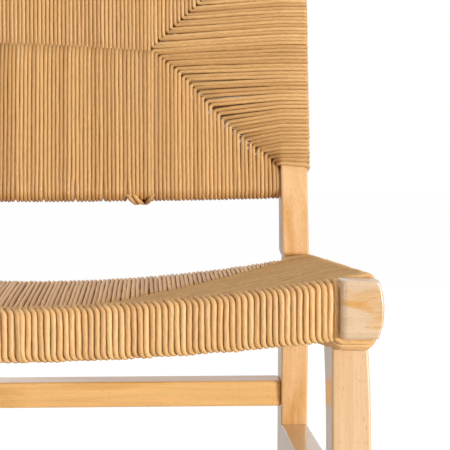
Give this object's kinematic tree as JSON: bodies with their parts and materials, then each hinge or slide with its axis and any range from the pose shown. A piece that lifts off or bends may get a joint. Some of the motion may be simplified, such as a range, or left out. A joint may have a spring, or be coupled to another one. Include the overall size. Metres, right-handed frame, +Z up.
{
  "type": "lamu chair",
  "caption": "Rigid wooden side chair with a sagging seat and a reclined back, both woven from cord in an envelope pattern.",
  "frame": {"origin": "on the floor, under the middle of the bounding box", "axes": "+Z up, +X to the viewer's right when the chair is seen from the front, +Y towards the back"},
  "size_m": [0.5326, 0.5542, 0.808],
  "materials": {
    "wood": "satin varnish",
    "cord": "twisted natural fibre cord",
    "cardboard": "plain"
  },
  "bodies": {
    "root": {"back_bottom_rail": "wood", "back_top_rail": "wood", "back_weave": "cord", "front_leg_left": "wood", "front_leg_right": "wood", "front_stretcher": "wood", "rear_post_left": "wood", "rear_post_right": "wood", "rear_stretcher": "wood", "seat_front_rail": "wood", "seat_packing_front": "cardboard", "seat_packing_left": "cardboard", "seat_packing_rear": "cardboard", "seat_packing_right": "cardboard", "seat_rear_rail": "wood", "seat_side_rail_left": "wood", "seat_side_rail_right": "wood", "seat_weave": "cord", "side_stretcher_left": "wood", "side_stretcher_right": "wood"}
  },
  "joints": []
}
